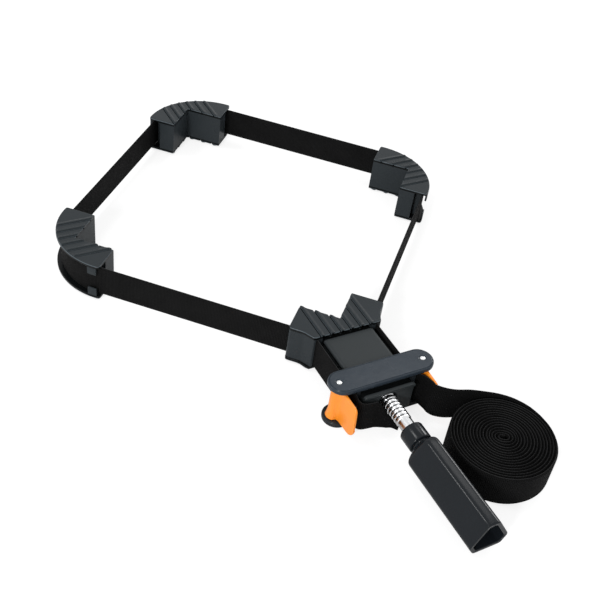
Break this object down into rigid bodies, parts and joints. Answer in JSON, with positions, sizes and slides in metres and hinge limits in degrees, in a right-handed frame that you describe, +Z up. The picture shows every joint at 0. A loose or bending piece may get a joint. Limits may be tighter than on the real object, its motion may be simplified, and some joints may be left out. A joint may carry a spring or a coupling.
{
  "type": "band clamp",
  "caption": "Frame and corner band clamp: webbing loop with notched corner jaws, screw spindle with a grip, quick release cam levers and a roll of spare band.",
  "frame": {"origin": "middle of the flat underside of the yoke's bottom plate, on the table", "axes": "+Y from the handle to the far corner jaw, along the spindle; +X to the right, across the yoke; +Z up from the table"},
  "size_m": [0.319, 0.4951, 0.0352],
  "materials": {
    "slate": "fine moulded grain, slate grey glass filled nylon",
    "housing_grey": "smooth moulded grey nylon",
    "plate_grey": "satin moulded blue grey nylon",
    "grip_black": "semi gloss dark moulding",
    "lever_orange": "bright orange moulding, satin",
    "zinc_steel": "bright zinc plated steel",
    "webbing_black": "black woven polyester webbing with fine cross ribs"
  },
  "bodies": {
    "head": {"head_jaw": "slate", "neck_housing": "housing_grey", "thrust_washer": "zinc_steel", "band_head_pass_left": "webbing_black", "band_head_pass_right": "webbing_black", "band_leg_left": "webbing_black", "band_leg_right": "webbing_black", "band_run_left": "webbing_black", "band_run_right": "webbing_black", "band_tail_long": "webbing_black", "band_roll": "webbing_black"},
    "spindle": {"spindle": "zinc_steel", "handle": "grip_black"},
    "yoke": {"yoke_top_plate": "plate_grey", "yoke_bottom_plate": "plate_grey", "clamp_pad_left": "plate_grey", "clamp_pad_right": "plate_grey", "spindle_nut": "zinc_steel", "pivot_pin_left": "zinc_steel", "pivot_pin_right": "zinc_steel", "band_tail_short": "webbing_black"},
    "lever_left": {"lever_left": "lever_orange"},
    "lever_right": {"lever_right": "lever_orange"},
    "left_jaw": {"corner_jaw_left": "slate", "band_arc_left": "webbing_black", "band_run_far_left": "webbing_black"},
    "far_jaw": {"corner_jaw_far": "slate", "band_arc_far": "webbing_black"},
    "right_jaw": {"corner_jaw_right": "slate", "band_arc_right": "webbing_black", "band_run_far_right": "webbing_black"}
  },
  "joints": [
    {"name": "spindle_turn", "type": "hinge", "parent": "head", "child": "spindle", "pos_m": [0, -0.0422, 0.0193], "axis": [0, 1, 0], "range_deg": [-3600, 360]},
    {"name": "yoke_slide", "type": "slide", "parent": "head", "child": "yoke", "axis": [0, 1, 0], "range_m": [-0.0031, 0.0301], "deforming": ["band_leg_left", "band_leg_right", "band_tail_short", "band_tail_long"]},
    {"name": "lever_left_release", "type": "hinge", "parent": "yoke", "child": "lever_left", "pos_m": [-0.0323, 0, 0.0174], "axis": [0, 0, 1], "range_deg": [-75, 0]},
    {"name": "lever_right_release", "type": "hinge", "parent": "yoke", "child": "lever_right", "pos_m": [0.0323, 0, 0.0174], "axis": [0, 0, 1], "range_deg": [0, 75]},
    {"name": "left_jaw_slide", "type": "slide", "parent": "head", "child": "left_jaw", "axis": [0.7071, -0.7071, 0], "range_m": [0, 0.06], "deforming": ["band_run_left", "band_run_far_right"]},
    {"name": "right_jaw_slide", "type": "slide", "parent": "head", "child": "right_jaw", "axis": [-0.7071, -0.7071, 0], "range_m": [0, 0.06], "deforming": ["band_run_right"]},
    {"name": "far_jaw_slide", "type": "slide", "parent": "left_jaw", "child": "far_jaw", "axis": [-0.7071, -0.7071, 0], "range_m": [0, 0.06], "deforming": ["band_run_far_left"]}
  ],
  "couplings": [
    {"joint": "yoke_slide", "follows": "spindle_turn", "m_per_rad": -0.00047746},
    {"joint": "far_jaw_slide", "follows": "right_jaw_slide", "ratio": 1}
  ]
}
